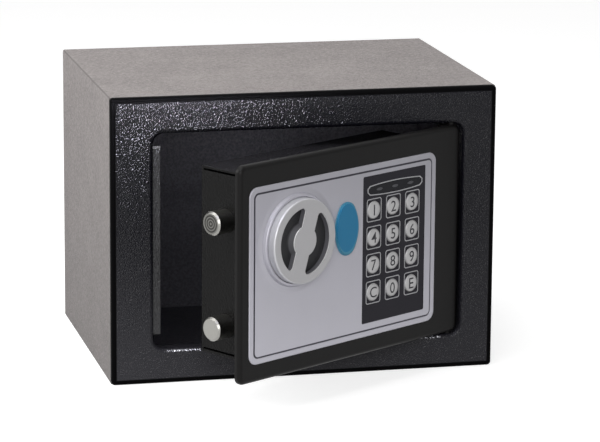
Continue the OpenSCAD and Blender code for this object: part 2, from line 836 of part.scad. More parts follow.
// Round bolt with a chamfered end and a riveted tail
module bolt_bar(z) {
    rivet = carriage_t;
    color(nickel) on_door() translate([bolt_end_x, bolt_y, z]) rotate([0, 90, 0])
        rotate_extrude() polygon([
            [0, 0], [bolt_r - bolt_chamfer, 0], [bolt_r, bolt_chamfer],
            [bolt_r, bolt_shoulder_x - bolt_end_x],
            [rivet_r, bolt_shoulder_x - bolt_end_x],
            [rivet_r, bolt_shoulder_x - bolt_end_x + rivet],
            [rivet_head_r, bolt_shoulder_x - bolt_end_x + rivet],
            [rivet_head_r, bolt_shoulder_x - bolt_end_x + rivet + rivet_head_t],
            [0, bolt_shoulder_x - bolt_end_x + rivet + rivet_head_t]
        ]);
}

module bolt_upper() { bolt_bar(bolt_z); }

module bolt_lower() { bolt_bar(lower_bolt_z); }

// Shouldered studs that guide the carriage
module carriage_studs() {
    color(nickel) on_door() for (z = [bolt_z, lower_bolt_z]) translate([stud_x, 0, z])
        union() {
            bar_y(stud_r + 1.5, plate_t, carriage_y0 - 0.3);
            bar_y(stud_r, plate_t, carriage_y1 + 0.4);
            bar_y(stud_head_r, carriage_y1 + 0.3, carriage_y1 + 0.3 + stud_head_t);
        }
}

module solenoid_frame() {
    color([0.6, 0.6, 0.58]) on_door() translate([solenoid_x, 0, solenoid_z]) difference() {
        translate([-solenoid_w / 2, solenoid_y0, -solenoid_h / 2])
            cube([solenoid_w, solenoid_y1 - solenoid_y0, solenoid_h]);
        translate([-solenoid_w / 2 + 1.5, solenoid_y0 + 1.5, -solenoid_h / 2 - 1])
            cube([solenoid_w - 3, solenoid_y1 - solenoid_y0 - 3, solenoid_h + 2]);
        bar_y(coil_bore_r, solenoid_y1 - 3, solenoid_y1 + 1);
    }
}

module solenoid_coil() {
    color([0.6, 0.25, 0.12]) on_door() translate([solenoid_x, 0, solenoid_z]) difference() {
        bar_y(coil_r, solenoid_y0 + 1.5, solenoid_y1 - 1.5);
        bar_y(coil_bore_r, solenoid_y0 + 3, solenoid_y1);
    }
}

// Plunger at rest: drawn in, its tip just clear of the carriage
module solenoid_plunger() {
    color(nickel) on_door() translate([solenoid_x, 0, solenoid_z]) union() {
        bar_y(plunger_r, solenoid_y0 + 4, collar_y + 1);
        bar_y(collar_r, collar_y, collar_y + 1);
        bar_y(plunger_tip_r, collar_y, carriage_y0 - plunger_gap);
    }
}

// Coil spring between the solenoid's frame and the plunger's collar
module plunger_spring() {
    rise = collar_y - 0.3 - solenoid_y1 - 2 * wire_r;
    steps = spring_turns * 16;
    sides = 6;
    rings = [for (i = [0:steps]) let (a = 360 * i / 16) [
        for (k = [0:sides - 1]) let (b = 360 * k / sides, r = spring_r + wire_r * cos(b))
            [r * cos(a), r * sin(a), rise * i / steps + wire_r * (1 + sin(b))]
    ]];
    walls = [for (i = [0:steps - 1], k = [0:sides - 1]) let (n = (k + 1) % sides) each [
        [i * sides + k, (i + 1) * sides + k, i * sides + n],
        [i * sides + n, (i + 1) * sides + k, (i + 1) * sides + n]
    ]];
    ends = [for (k = [1:sides - 2]) each [
        [0, k, k + 1], [steps * sides, steps * sides + k + 1, steps * sides + k]
    ]];
    color([0.7, 0.7, 0.7]) on_door() translate([solenoid_x, solenoid_y1, solenoid_z])
        rotate([-90, 0, 0])
            polyhedron([for (ring = rings, p = ring) p], concat(walls, ends));
}

module lock_barrel() {
    color(nickel) on_door() translate([lock_x, 0, control_h]) difference() {
        bar_y(barrel_r, barrel_y0, barrel_y1);
        bar_y(core_r + running, barrel_y0 - 1, barrel_y1 + 1);
    }
}

module lock_nut() {
    color(nickel) on_door() translate([lock_x, 0, control_h]) difference() {
        bar_y(nut_r, plate_t, plate_t + nut_t, $fn = 6);
        bar_y(barrel_r, plate_t - 1, plate_t + nut_t + 1, $fn = 48);
    }
}

// Round key core with its ring-shaped keyway, and the tongue on its tail
module lock_core() {
    color([0.8, 0.78, 0.72]) on_door() translate([lock_x, 0, control_h]) union() {
        difference() {
            bar_y(core_r, barrel_y0, tongue_y + tongue_t);
            bar_y(3.4, barrel_y0 - 1, barrel_y0 + 5);
        }
        bar_y(2, barrel_y0 + 0.2, barrel_y0 + 6);
        rotate([0, 180, 0]) union() {
            translate([-3, tongue_y, 0]) cube([6, tongue_t, tongue_len - 3]);
            translate([0, 0, tongue_len - 3]) bar_y(3, tongue_y, tongue_y + tongue_t);
        }
    }
}

// Oval cover with a domed face and a plug that sits in the silver panel
module key_cover() {
    color([0.15, 0.42, 0.58]) on_door() translate([lock_x, -fascia_t, control_h]) union() {
        slab(-cover_h / 2, 0) oval(cover_a, cover_b, cover_end_r);
        slab(-cover_h, 0) oval(cover_a - 0.7, cover_b - 0.7, cover_end_r - 0.7);
        slab(0, cover_plug) oval(cover_a - cover_in - fit, cover_b - cover_in - fit,
            cover_end_r - cover_in - fit);
    }
}

module battery_tray() {
    color(charcoal) on_door() translate([tray_x, 0, tray_z]) difference() {
        slab(tray_y0, inner_y) square([tray_w, tray_h], center = true);
        slab(tray_y0 + tray_wall, inner_y + 1)
            square([tray_w - 2 * tray_wall, tray_h - 2 * tray_wall], center = true);
    }
}

module battery_cells() {
    color([0.55, 0.57, 0.6]) on_door() for (i = [0:cell_count - 1])
        translate([tray_x + (i - (cell_count - 1) / 2) * cell_pitch,
            tray_y0 + tray_wall + cell_r, tray_z]) mirror([0, 0, i % 2]) union() {
                translate([0, 0, -cell_len / 2]) cylinder(r = cell_r, h = cell_len - 1);
                translate([0, 0, -cell_len / 2]) cylinder(r = 2.6, h = cell_len);
            }
}

module battery_contacts() {
    gap = (tray_h - 2 * tray_wall - cell_len) / 2;
    color(nickel) on_door() for (i = [0:cell_count - 1], side = [0, 1])
        translate([tray_x + (i - (cell_count - 1) / 2) * cell_pitch,
            tray_y0 + tray_wall + cell_r, tray_z]) mirror([0, 0, side])
                translate([0, 0, cell_len / 2]) cylinder(r = 4, h = gap);
}

// Sliding lid with grip ribs, held by the rear cover's rails
module battery_cover() {
    color(charcoal) on_door() translate([tray_x, box_d, tray_z]) union() {
        slab(0, lid_t) round_rect(lid_w, lid_h, 1);
        for (i = [0:5]) translate([-10, lid_t - eps, lid_h / 2 - 8 - 2.4 * i])
            cube([20, 1, 1.2]);
    }
}

module reset_switch() {
    y0 = inner_y - 12;
    color(charcoal) on_door() translate([reset_x, 0, reset_z]) difference() {
        translate([-6, y0, -5]) cube([12, inner_y - y0, 10]);
        translate([-4, inner_y - 4, -6]) cube([8, 5, 12]);
        bar_y(reset_tail_r + running, inner_y - 8, inner_y);
    }
}

module reset_button() {
    color([0.7, 0.1, 0.1]) on_door() translate([reset_x, 0, reset_z]) union() {
        bar_y(reset_r, inner_y - 2, box_d + reset_proud);
        bar_y(reset_tail_r, inner_y - 6, inner_y - 1);
    }
}

// Place of key number i, counted along the rows from the top
function key_spot(i) = [
    keypad_x + key_shift + (i % 3 - 1) * key_step_x, 0,
    top_row_z - floor(i / 3) * key_step_z
];

// Key cap with a rounded edge, a flange behind the keypad and a stem to its dome
module key_cap(i) {
    front = keypad_t + key_proud;
    color(silver) on_door() translate(key_spot(i)) rotate([90, 0, 0]) rotate_extrude()
        union() {
            square([key_r, front - 0.6]);
            square([key_r - 0.6, front]);
            translate([key_r - 0.6, front - 0.6]) circle(0.6, $fn = 24);
            translate([0, -key_flange_t]) square([key_flange_r, key_flange_t]);
            translate([0, -key_stem_y]) square([key_stem_r, key_stem_y]);
        }
}

case_shell();
front_frame();
back_panel();
strike_plate();
hinge_lug_upper();
hinge_lug_lower();
door_plate();
hinge_block_upper();
hinge_block_lower();
hinge_pins();
lock_housing();
rear_cover();
rear_cover_screws();
front_panel();
keypad_panel();
lamp_window();
signal_lamps();
dome_sheet();
circuit_board();
board_screws();
knob_ring();
knob_bush();
carriage_studs();
solenoid_frame();
solenoid_coil();
plunger_spring();
lock_barrel();
lock_nut();
battery_tray();
battery_cells();
battery_contacts();
reset_switch();
knob();
knob_cam();
bolt_carriage();
bolt_upper();
bolt_lower();
solenoid_plunger();
lock_core();
key_cover();
battery_cover();
reset_button();
for (i = [0:11])
    key_cap(i);
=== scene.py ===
import json
import math

import bpy
import numpy as np
from mathutils import Matrix, Vector


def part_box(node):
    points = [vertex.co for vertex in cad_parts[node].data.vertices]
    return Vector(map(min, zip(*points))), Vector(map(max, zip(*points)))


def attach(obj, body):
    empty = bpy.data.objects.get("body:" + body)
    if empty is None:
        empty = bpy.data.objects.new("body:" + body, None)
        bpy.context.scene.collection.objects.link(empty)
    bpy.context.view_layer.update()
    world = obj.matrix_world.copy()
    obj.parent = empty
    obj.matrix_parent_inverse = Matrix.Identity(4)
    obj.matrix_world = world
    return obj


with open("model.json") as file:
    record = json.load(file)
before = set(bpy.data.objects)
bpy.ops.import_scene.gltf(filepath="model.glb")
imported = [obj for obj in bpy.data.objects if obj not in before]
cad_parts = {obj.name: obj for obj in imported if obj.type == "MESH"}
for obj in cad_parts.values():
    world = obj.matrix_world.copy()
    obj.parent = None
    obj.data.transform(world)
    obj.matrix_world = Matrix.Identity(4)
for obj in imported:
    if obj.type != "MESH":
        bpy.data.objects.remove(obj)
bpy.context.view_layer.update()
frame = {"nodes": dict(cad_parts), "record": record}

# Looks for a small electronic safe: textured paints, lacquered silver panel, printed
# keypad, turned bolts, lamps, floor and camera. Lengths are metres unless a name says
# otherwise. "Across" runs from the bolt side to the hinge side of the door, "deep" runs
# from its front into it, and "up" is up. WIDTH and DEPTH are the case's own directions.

MM = 0.001
KEY_NAMES = ("1", "2", "3", "4", "5", "6", "7", "8", "9", "c", "0", "e")

# The door's own axes

joints = {j["name"]: j for j in frame["record"]["behaviour"]["joints"]}
HINGE = np.array(joints["door_swing"]["pos_m"])
DEEP = np.array(joints["key_1_press"]["axis"])
DEEP = DEEP / np.linalg.norm(DEEP)
ACROSS = np.array([DEEP[1], -DEEP[0], 0.0])
UP = np.array([0.0, 0.0, 1.0])
WIDTH = np.array([1.0, 0.0, 0.0])
DEPTH = np.array([0.0, 1.0, 0.0])


def vertices(node):
    """All vertices of a CAD node as one array of rows."""
    mesh = frame["nodes"][node].data
    found = np.empty(len(mesh.vertices) * 3, np.float32)
    mesh.vertices.foreach_get("co", found)
    return found.reshape(-1, 3).astype(float)


def door_box(node):
    """Lowest and highest (across, deep, up) of a node, measured from the hinge axis."""
    offset = vertices(node) - HINGE
    local = np.stack([offset @ ACROSS, offset @ DEEP, offset @ UP], axis=1)
    return local.min(axis=0), local.max(axis=0)


def door_middle(node):
    """Middle of a node across, its front face's depth, and its middle up."""
    low, high = door_box(node)
    return np.array([(low[0] + high[0]) / 2, low[1], (low[2] + high[2]) / 2])


def door_point(across=0.0, deep=0.0, up=0.0):
    """World point at (across, deep, up) from the hinge axis."""
    return HINGE + across * ACROSS + deep * DEEP + up * UP


def from_door(across, deep, up):
    """World points for (across, deep, up) measured from the hinge axis."""
    across, deep, up = np.broadcast_arrays(across, deep, up)
    return HINGE + across[..., None] * ACROSS + deep[..., None] * DEEP + up[..., None] * UP


# Finishes


class Value:
    """A number that varies over a surface. Each operator adds a Math node."""

    def __init__(self, finish, socket):
        self.finish = finish
        self.socket = socket

    def math(self, operation, *others, clamp=False):
        """This number and others through one Math node."""
        inputs = dict(enumerate((self, *others)))
        settings = {"operation": operation, "use_clamp": clamp}
        return self.finish.add("ShaderNodeMath", settings, inputs)

    def __add__(self, other):
        return self.math("ADD", other)

    def __sub__(self, other):
        return self.math("SUBTRACT", other)

    def __mul__(self, other):
        return self.math("MULTIPLY", other)

    def __truediv__(self, other):
        return self.math("DIVIDE", other)

    def __rsub__(self, other):
        return self.math("MULTIPLY_ADD", -1.0, other)

    __radd__ = __add__
    __rmul__ = __mul__

    def size(self):
        """The number without its sign."""
        return self.math("ABSOLUTE")

    def larger(self, other):
        """The larger of this number and another."""
        return self.math("MAXIMUM", other)

    def step(self, start, end):
        """0 below start and 1 above end, with a straight ramp between them."""
        return (self - start).math("DIVIDE", end - start, clamp=True)


class Finish:
    """One material: a Principled shader and the nodes that vary it."""

    def __init__(self, name, **constants):
        self.material = bpy.data.materials.new(name)
        self.material.use_nodes = True
        self.tree = self.material.node_tree
        self.shader = next(n for n in self.tree.nodes if n.type == "BSDF_PRINCIPLED")
        for socket, value in constants.items():
            self.shader.inputs[socket.replace("_", " ")].default_value = value
        self.place = self.add("ShaderNodeTexCoord", {}, {}, "Object").socket

    def add(self, kind, settings, inputs, output=0):
        """Adds a node of that type, with its settings first and then its inputs."""
        node = self.tree.nodes.new(kind)
        for key, value in settings.items():
            setattr(node, key, value)
        for key, value in inputs.items():
            socket = node.inputs[key]
            if isinstance(value, Value):
                value = value.socket
            if isinstance(value, bpy.types.NodeSocket):
                self.tree.links.new(value, socket)
            else:
                socket.default_value = value
        return Value(self, node.outputs[output])

    def feed(self, **values):
        """Links varying values to the shader's sockets."""
        for socket, value in values.items():
            self.tree.links.new(value.socket, self.shader.inputs[socket.replace("_", " ")])
        return self

    def fed(self, socket):
        """The value that already feeds one of the shader's sockets."""
        return Value(self, self.shader.inputs[socket].links[0].from_socket)

    def noise(self, size, detail=2.0, roughness=0.5, place=None):
        """Noise from 0 to 1 whose features are about size metres across."""
        inputs = {"Vector": place or self.place, "Scale": 1 / size, "Detail": detail,
                  "Roughness": roughness}
        return self.add("ShaderNodeTexNoise", {}, inputs)

    def cells(self, size, place):
        """Distance from the middle of the nearest of many cells about size across."""
        inputs = {"Vector": place, "Scale": 1 / size, "Smoothness": 0.6}
        return self.add("ShaderNodeTexVoronoi", {"feature": "SMOOTH_F1"}, inputs)

    def mix(self, mask, low, high):
        """Colour low where mask is 0 and high where it is 1."""
        inputs = {0: mask, 6: as_colour(low), 7: as_colour(high)}
        return self.add("ShaderNodeMix", {"data_type": "RGBA"}, inputs, 2)

    def range(self, value, low, high):
        """A value from 0 to 1 moved to run from low to high."""
        return value * (high - low) + low

    def distance(self, one, other):
        """Length of a vector whose parts along two square directions are given."""
        return (one * one + other * other).math("SQRT")

    def along(self, axis, origin=(0.0, 0.0, 0.0)):
        """Distance along a fixed direction from an origin."""
        offset = self.add("ShaderNodeVectorMath", {"operation": "SUBTRACT"},
                          {0: self.place, 1: tuple(origin)})
        return self.add("ShaderNodeVectorMath", {"operation": "DOT_PRODUCT"},
                        {0: offset, 1: tuple(axis)}, 1)

    def stretched(self, axis, factor):
        """The place with lengths along an axis multiplied, for brushed and drawn metal."""
        part = self.add("ShaderNodeVectorMath", {"operation": "SCALE"},
                        {0: tuple(axis), 3: self.along(axis) * (factor - 1)})
        return self.add("ShaderNodeVectorMath", {"operation": "ADD"},
                        {0: self.place, 1: part})

    def bumpy(self, height, distance, edge=None):
        """Relief of that height, over edges softened to a radius where one is given."""
        inputs = {"Height": height, "Distance": distance}
        if edge:
            inputs["Normal"] = self.soft_edge(edge)
        return self.feed(Normal=self.add("ShaderNodeBump", {}, inputs))

    def give_way(self, mask, **constants):
        """A second, plainer shader that shows where mask is 1, over the same relief."""
        other = self.tree.nodes.new("ShaderNodeBsdfPrincipled")
        for socket, value in constants.items():
            other.inputs[socket.replace("_", " ")].default_value = value
        self.tree.links.new(self.fed("Normal").socket, other.inputs["Normal"])
        output = next(n for n in self.tree.nodes if n.type == "OUTPUT_MATERIAL")
        mix = self.tree.nodes.new("ShaderNodeMixShader")
        self.tree.links.new(mask.socket, mix.inputs[0])
        self.tree.links.new(self.shader.outputs[0], mix.inputs[1])
        self.tree.links.new(other.outputs[0], mix.inputs[2])
        self.tree.links.new(mix.outputs[0], output.inputs["Surface"])
        return self

    def soft_edge(self, radius):
        """Normals rounded over edges nearer than a radius."""
        return self.add("ShaderNodeBevel", {"samples": 4}, {"Radius": radius})


def as_colour(colour):
    """A colour of three numbers gets its fourth; a Value stays as it is."""
    return colour if isinstance(colour, Value) else (*colour, 1.0)


def shaded(colour, share):
    """That share of a colour."""
    return tuple(c * share for c in colour)


def rect_distance(across, up, half_w, half_h, corner):
    """Signed distance to a rectangle with round corners: negative inside. Taken from the
    larger of the two overshoots, with the corner's circle where both are positive."""
    over_w = across.size() - (half_w - corner)
    over_h = up.size() - (half_h - corner)
    zero_w, zero_h = over_w.larger(0.0), over_h.larger(0.0)
    outside = across.finish.distance(zero_w, zero_h)
    inside = over_w.larger(over_h).math("MINIMUM", 0.0)
    return outside + inside - corner


# Colours, as linear red, green and blue

# CASE_GREY is partly painted light: the case's dark paint is painted grey for the light its
# top and sides reflect at a grazing angle.
CASE_GREY = (0.330, 0.301, 0.294)
CASE_GREY_DARK = (0.196, 0.178, 0.174)
# INSIDE_BLACK and INSIDE_LIT are partly painted light: paler than the inside's black paint,
# for the light reaching in through the opening, INSIDE_LIT more so.
INSIDE_BLACK = (0.118, 0.115, 0.140)
INSIDE_LIT = (0.300, 0.292, 0.345)
INSIDE_SPECK = (0.020, 0.020, 0.020)
FRAME_BLACK = (0.0066, 0.0064, 0.0105)
FRAME_LOW_LIGHT = (0.040, 0.039, 0.047)
BORDER_SHADE_BLACK = (0.0020, 0.0019, 0.0022)
SILL_HIGHLIGHT_STEEL = (0.460, 0.460, 0.500)
# STRIKE_GREY is partly painted light: paler than the frame's black paint the strike plate
# shares, for the light it catches.
STRIKE_GREY = (0.050, 0.050, 0.053)
STRIKE_GREY_DARK = (0.022, 0.022, 0.024)
STRIKE_TIP_HIGHLIGHT = (0.300, 0.300, 0.320)
DOOR_BLACK = (0.0046, 0.0043, 0.0043)
HOUSING_BLACK = (0.0042, 0.0040, 0.0040)
HOUSING_TOP_LIGHT = (0.0170, 0.0165, 0.0190)
PANEL_SILVER = (0.630, 0.620, 0.687)
PANEL_LINE = (0.028, 0.026, 0.040)
KNOB_SILVER = (0.460, 0.455, 0.468)
KNOB_SIDE_SILVER = (0.640, 0.640, 0.670)
KNOB_EDGE_HIGHLIGHT = (0.950, 0.950, 0.960)
POCKET_WALL = (0.115, 0.114, 0.127)
POCKET_BOSS = (0.100, 0.100, 0.108)
POCKET_CORNER_SHADE = (0.006, 0.006, 0.008)
POCKET_FLOOR = (0.013, 0.013, 0.015)
KEY_SILVER = (0.500, 0.495, 0.500)
KEYPAD_CHARCOAL = (0.0160, 0.0148, 0.0205)
PRINT_SILVER = (0.500, 0.500, 0.520)
PRINT_FAINT = (0.062, 0.062, 0.072)
PRINT_DARK = (0.020, 0.020, 0.025)
COVER_BLUE = (0.024, 0.238, 0.455)
COVER_BLUE_HIGHLIGHT = (0.080, 0.320, 0.480)
NICKEL = (0.660, 0.650, 0.610)
ZINC = (0.560, 0.560, 0.545)
BRASS = (0.660, 0.500, 0.270)
COPPER = (0.600, 0.240, 0.100)
COPPER_DARK = (0.350, 0.100, 0.035)
BOARD_GREEN = (0.012, 0.085, 0.030)
BOARD_TRACK = (0.030, 0.170, 0.060)
CELL_COLOURS = ((0.030, 0.032, 0.036), (0.300, 0.310, 0.330), (0.600, 0.600, 0.580))
GLOSS_TINT = (0.860, 0.850, 1.000)


# Where paint changes on the case and the frame. A pair is where a change starts and ends.

CLOUD = 30 * MM
INSIDE_LIT_BAND = (75 * MM, 110 * MM)
BEND_SHADE_BAND = (0.15 * MM, 0.60 * MM)
SHELL_SKIN = 0.9 * MM
FRAME_BORDER = (-3.3 * MM, -2.7 * MM)
FRAME_CROWN = (8.5 * MM, 2.5 * MM)
SILL_BELOW_DOOR = 2.7 * MM
SILL_REACH_IN = 33 * MM


def leather(finish, cell):
    """Pebbles about cell across, and a grain finer than they are."""
    bend = finish.noise(cell * 1.6, 1.0)
    bent = finish.add("ShaderNodeVectorMath", {"operation": "MULTIPLY_ADD"},
                      {0: finish.place, 1: (1.0, 1.0, 1.0),
                       2: finish.add("ShaderNodeVectorMath", {"operation": "SCALE"},
                                     {0: (1.0, 1.0, 1.0), 3: bend * cell})})
    pebble = 1.0 - finish.cells(cell, bent.socket)
    fine = finish.noise(cell * 0.35, 3.0)
    return pebble, fine


def grain_paint(name, colour, dark, cell, depth, roughness, specular,
                edge=0.6 * MM):
    """Powder paint that dries in a pebbled leather grain."""
    finish = Finish(name, Specular_IOR_Level=specular)
    pebble, fine = leather(finish, cell)
    cloud = finish.noise(CLOUD, 3.0)
    speck = finish.noise(cell * 1.6, 2.0)
    finish.bumpy(pebble * 0.8 + fine * 0.3, depth, edge)
    shade = (speck * 0.6 + fine * 0.15 + cloud * 0.25).step(0.36, 0.64)
    return finish.feed(
        Base_Color=finish.mix(shade, dark, colour),
        Roughness=finish.range(cloud, roughness - 0.04, roughness + 0.05))


def case_finish(name, inner_half_w, inner_low, inner_high, inner_back):
    """Grey grained paint outside, the grey partly painted light, with painted shade in a
    line along the long bends and towards the floor, and dark paint inside, painted paler as
    painted light and paler still over the upper part."""
    finish = grain_paint(name, CASE_GREY, CASE_GREY_DARK, 1.1 * MM, 0.36 * MM, 0.58, 0.20)
    middle = (inner_low + inner_high) / 2
    half_h = (inner_high - inner_low) / 2
    across = finish.along(WIDTH).size() - (inner_half_w + SHELL_SKIN)
    up = finish.along(UP, middle * UP).size() - (half_h + SHELL_SKIN)
    back = finish.along(DEPTH) - (inner_back + SHELL_SKIN)
    outside = across.larger(up).larger(back).step(0.0, 0.1 * MM)
    speck = finish.noise(1.4 * MM, 2.0).step(0.35, 0.65)
    # Painted light: the inside is painted paler over its upper part, where more light
    # reaches in.
    rise = finish.along(UP).step(*INSIDE_LIT_BAND)
    inside = finish.mix(rise, INSIDE_BLACK, INSIDE_LIT)
    inside = finish.mix(speck * 0.4, inside, INSIDE_SPECK)
    grey = finish.fed("Base Color")
    # Painted shade: the outside grey darkens towards the floor, as the light falls off down
    # the sides.
    fall = finish.along(UP).step(inner_high, inner_low)
    grey = finish.mix(fall * 0.32, grey, (0.0, 0.0, 0.0))
    # Painted shade: a dark line along the long bends, for the dark the rounded bend
    # reflects.
    bend = across.step(*BEND_SHADE_BAND) * up.step(*BEND_SHADE_BAND)
    grey = finish.mix(bend * 0.9, grey, shaded(CASE_GREY, 0.38))
    finish.feed(Base_Color=finish.mix(outside, inside, grey))
    return finish


def frame_finish(name, node):
    """Black leather-grained paint on a slightly crowned frame. Its outer edge is smooth,
    matt and painted blacker as painted shade, the lower part is painted paler as painted
    light, and the sill of the opening carries a painted highlight of speckled bare steel."""
    low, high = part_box(node)
    middle = [(a + b) / 2 for a, b in zip(low, high)]
    half_w, half_h = (high[0] - low[0]) / 2, (high[2] - low[2]) / 2
    finish = Finish(name, Specular_IOR_Level=0.16)
    pebble, fine = leather(finish, 0.72 * MM)
    relief = pebble * 0.8 + fine * 0.05 + finish.noise(1.5 * MM, 1.0) * 0.55
    across = finish.along(WIDTH, middle)
    up = finish.along(UP, middle)
    # Painted shade: the outer edge band is painted blacker, for the dark its rounded edge
    # reflects.
    shade_border = rect_distance(across, up, half_w, half_h, 1.5 * MM).step(*FRAME_BORDER)
    crown = up.step(half_h - FRAME_CROWN[0], half_h - FRAME_CROWN[1])
    height = relief * (1.0 - shade_border) - crown * crown * 1.8
    finish.bumpy(height, 0.42 * MM, 0.5 * MM)
    cloud = finish.noise(CLOUD, 3.0)
    # Painted light: the frame's lower part is painted paler, most at the left.
    low_light = up.step(0.1 * half_h, -half_h) * (1.0 - 0.5 * across.step(-half_w, half_w))
    tone = finish.mix(fine, shaded(FRAME_BLACK, 0.8), FRAME_BLACK)
    tone = finish.mix(low_light, tone, FRAME_LOW_LIGHT)
    sill_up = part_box("door_plate")[0][2] - SILL_BELOW_DOOR
    sill = finish.along(UP, sill_up * UP).size()
    reach = across.size() - (half_w - SILL_REACH_IN)
    # Painted highlight: broken specks of bare-steel colour, metallic, along the sill's
    # rounded lip.
    painted_highlight = sill.step(0.65 * MM, 0.35 * MM) * reach.step(2 * MM, 0.0) \
        * finish.noise(0.9 * MM, 2.0).step(0.44, 0.54)
    tone = finish.mix(painted_highlight, tone, SILL_HIGHLIGHT_STEEL)
    finish.feed(Base_Color=tone, Roughness=finish.range(cloud, 0.11, 0.15), Metallic=painted_highlight)
    return finish.give_way(shade_border, Base_Color=as_colour(BORDER_SHADE_BLACK), Roughness=0.55,
                           Specular_IOR_Level=0.02)


def smooth_paint(name, colour, roughness, specular, grain, depth, edge):
    """Satin paint with a faint orange peel and a fine tooth."""
    finish = Finish(name, Specular_IOR_Level=specular)
    peel = finish.noise(grain * 5, 2.0)
    tooth = finish.noise(grain, 3.0)
    finish.bumpy(peel * 0.5 + tooth * 0.5, depth, edge)
    lighter = tuple(c * 1.35 + 0.001 for c in colour)
    return finish.feed(
        Base_Color=finish.mix(tooth.step(0.35, 0.75), colour, lighter),
        Roughness=finish.range(peel, roughness - 0.06, roughness + 0.06))


def drawn_metal(name, colour, axis, roughness, edge=0.3 * MM, line=0.25 * MM):
    """Metal with fine lines along an axis, from drawing, rolling or brushing."""
    finish = Finish(name, Metallic=1.0)
    lines = finish.noise(line, 3.0, 0.6, finish.stretched(axis, 0.04).socket)
    tone = finish.noise(6 * MM, 2.0)
    darker = shaded(colour, 0.80)
    finish.bumpy(lines, 0.012 * MM, edge)
    return finish.feed(
        Base_Color=finish.mix((lines * 0.6 + tone * 0.4).step(0.3, 0.7), darker, colour),
        Roughness=finish.range(lines, roughness - 0.07, roughness + 0.08))


def plastic(name, colour, roughness, grain=0.5 * MM, depth=0.02 * MM, edge=0.3 * MM,
            specular=0.4):
    """Moulded plastic with a spark-eroded skin."""
    finish = Finish(name, Specular_IOR_Level=specular)
    skin = finish.noise(grain, 3.0, 0.6)
    cloud = finish.noise(12 * MM, 2.0)
    lighter = tuple(c * 1.25 + 0.002 for c in colour)
    finish.bumpy(skin, depth, edge)
    return finish.feed(
        Base_Color=finish.mix((skin * 0.7 + cloud * 0.3).step(0.3, 0.7), colour, lighter),
        Roughness=finish.range(cloud, roughness - 0.05, roughness + 0.05))


PANEL_LINE_IN = 3.3 * MM
PANEL_LINE_WIDTH = 1.0 * MM
PANEL_LINE_SOFT = 0.08 * MM
KNOB_FOOT = (31.0 * MM, 26.0 * MM)


def panel_finish(node):
    """Silver lacquer over a pressed panel, painted lighter towards the bottom and the bolt
    side as a painted reflection, with dark paint in the groove along its edge.
    """
    low, high = door_box(node)
    middle = door_point(across=(low[0] + high[0]) / 2, up=(low[2] + high[2]) / 2)
    finish = Finish("silver_lacquer", Metallic=0.25, Specular_IOR_Level=0.4)
    flake = finish.noise(0.22 * MM, 2.0)
    cloud = finish.noise(25 * MM, 2.0)
    across, up = finish.along(ACROSS, middle), finish.along(UP, middle)
    half_w, half_h = (high[0] - low[0]) / 2, (high[2] - low[2]) / 2
    outer = rect_distance(across, up, half_w - PANEL_LINE_IN, half_h - PANEL_LINE_IN,
                          3.5 * MM)
    half_line = PANEL_LINE_WIDTH / 2
    line = (outer + half_line).size().step(half_line + PANEL_LINE_SOFT,
                                           half_line - PANEL_LINE_SOFT)
    darker = shaded(PANEL_SILVER, 0.64)
    # Painted reflection: the lacquer is painted lighter towards the bottom and the bolt
    # side, darker towards the top.
    rise = (up + across * 0.15).step(half_h, -half_h)
    tone = (flake + cloud).step(0.7, 1.3) * 0.14 + rise * 0.86
    lacquer = finish.mix(tone, darker, PANEL_SILVER)
    knob = door_point(*door_middle("knob"))
    radius = finish.distance(finish.along(ACROSS, knob), finish.along(UP, knob))
    foot = radius.step(*KNOB_FOOT)
    foot = foot * foot * (3.0 - 2.0 * foot)
    finish.bumpy(flake * 0.006 + foot * 1.1, 1.0 * MM, 0.3 * MM)
    return finish.feed(
        Base_Color=finish.mix(line, lacquer, PANEL_LINE),
        Metallic=0.25 * (1.0 - line),
        Roughness=finish.range(cloud, 0.36, 0.46))


POCKET_EDGE = (19.9 * MM, 19.6 * MM)
POCKET_DEPTH = 4.6 * MM
BOSS_FOOT = (10.9 * MM, 9.2 * MM)
KNOB_SIDE = (23.6 * MM, 24.3 * MM)


def knob_finish(node):
    """Silver lacquer on the face, paler on the side, with a painted highlight along the
    pockets' edges, and dark plastic down in the finger pockets, with painted shade where
    their walls meet the floor."""
    front = door_point(*door_middle(node))
    finish = Finish("knob_lacquer", Specular_IOR_Level=0.5)
    flake = finish.noise(0.2 * MM, 2.0)
    deep = finish.along(DEEP, front)
    radius = finish.distance(finish.along(ACROSS, front), finish.along(UP, front))
    within = radius.step(*POCKET_EDGE)
    pocket = deep.step(0.4 * MM, 0.7 * MM) * within
    # Painted shade: the pocket walls go black where they meet the floor.
    floor = deep.step(POCKET_DEPTH - 1.3 * MM, POCKET_DEPTH - 0.7 * MM)
    skirt = radius.step(*BOSS_FOOT)
    wall = finish.mix(floor, POCKET_WALL, POCKET_CORNER_SHADE)
    dark = finish.mix(skirt * 0.8, wall, POCKET_BOSS)
    flat = deep.step(POCKET_DEPTH - 0.3 * MM, POCKET_DEPTH - 0.1 * MM)
    dark = finish.mix(flat, dark, POCKET_FLOOR)
    # Painted highlight: a thin near-white line along the pockets' top edges.
    painted_highlight = deep.step(0.05 * MM, 0.2 * MM) * within
    side = radius.step(*KNOB_SIDE)
    silver = finish.mix(flake.step(0.3, 0.7), shaded(KNOB_SILVER, 0.92), KNOB_SILVER)
    silver = finish.mix(side, silver, KNOB_SIDE_SILVER)
    silver = finish.mix(painted_highlight, silver, KNOB_EDGE_HIGHLIGHT)
    finish.bumpy(flake, 0.008 * MM, 0.45 * MM)
    return finish.feed(
        Base_Color=finish.mix(pocket, silver, dark),
        Metallic=0.35 * (1.0 - pocket),
        Roughness=finish.range(pocket, 0.36, 0.66))


